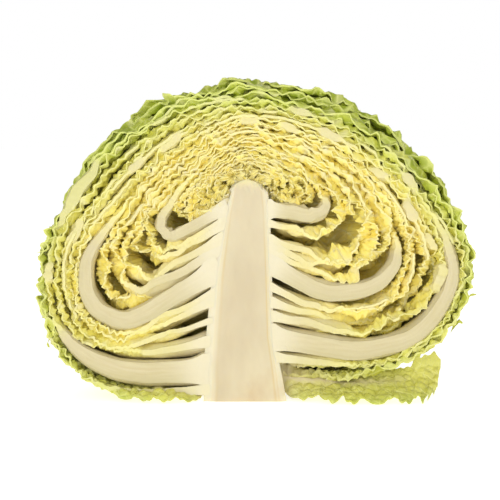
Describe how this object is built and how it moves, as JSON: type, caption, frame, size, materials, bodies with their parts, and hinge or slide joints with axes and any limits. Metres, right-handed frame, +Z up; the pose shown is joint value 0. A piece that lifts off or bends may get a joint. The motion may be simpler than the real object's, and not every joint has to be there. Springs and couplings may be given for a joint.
{
  "type": "savoy cabbage half",
  "caption": "Savoy cabbage cut in half lengthwise: a stem with thick-ribbed, puckered leaves folded in layers round the heart, standing on the stem's flat end.",
  "frame": {"origin": "on the stem's flat end, 8 mm behind the cut face", "axes": "+Z up along the stem, +X to the right across the cut face, +Y from the cut face into the head"},
  "size_m": [0.202, 0.1111, 0.1494],
  "materials": {
    "stem": "cream-white cut stem, moist",
    "heart_leaf": "yellow heart leaves, crinkled",
    "inner_leaf": "yellow-green leaves, puckered, cream ribs",
    "middle_leaf": "light green leaves, puckered, white ribs",
    "outer_leaf": "green outer leaves, strongly puckered, pale veins",
    "loose_leaf": "pale green loose leaves at the foot"
  },
  "bodies": {
    "root": {"stem": "stem", "heart_bud": "heart_leaf", "heart_leaf_1": "heart_leaf", "heart_leaf_2": "heart_leaf", "heart_leaf_3": "heart_leaf", "heart_leaf_4": "heart_leaf", "inner_leaf_1": "inner_leaf", "inner_leaf_2": "inner_leaf", "inner_leaf_3": "inner_leaf", "inner_leaf_4": "inner_leaf", "inner_leaf_5": "inner_leaf", "inner_leaf_6": "inner_leaf", "middle_leaf_1": "middle_leaf", "middle_leaf_2": "middle_leaf", "middle_leaf_3": "middle_leaf", "middle_leaf_4": "middle_leaf", "middle_leaf_5": "middle_leaf", "middle_leaf_6": "middle_leaf", "outer_leaf_1": "outer_leaf", "outer_leaf_2": "outer_leaf", "outer_leaf_3": "outer_leaf", "outer_leaf_4": "outer_leaf", "loose_leaf_1": "loose_leaf", "loose_leaf_2": "loose_leaf"}
  },
  "joints": []
}
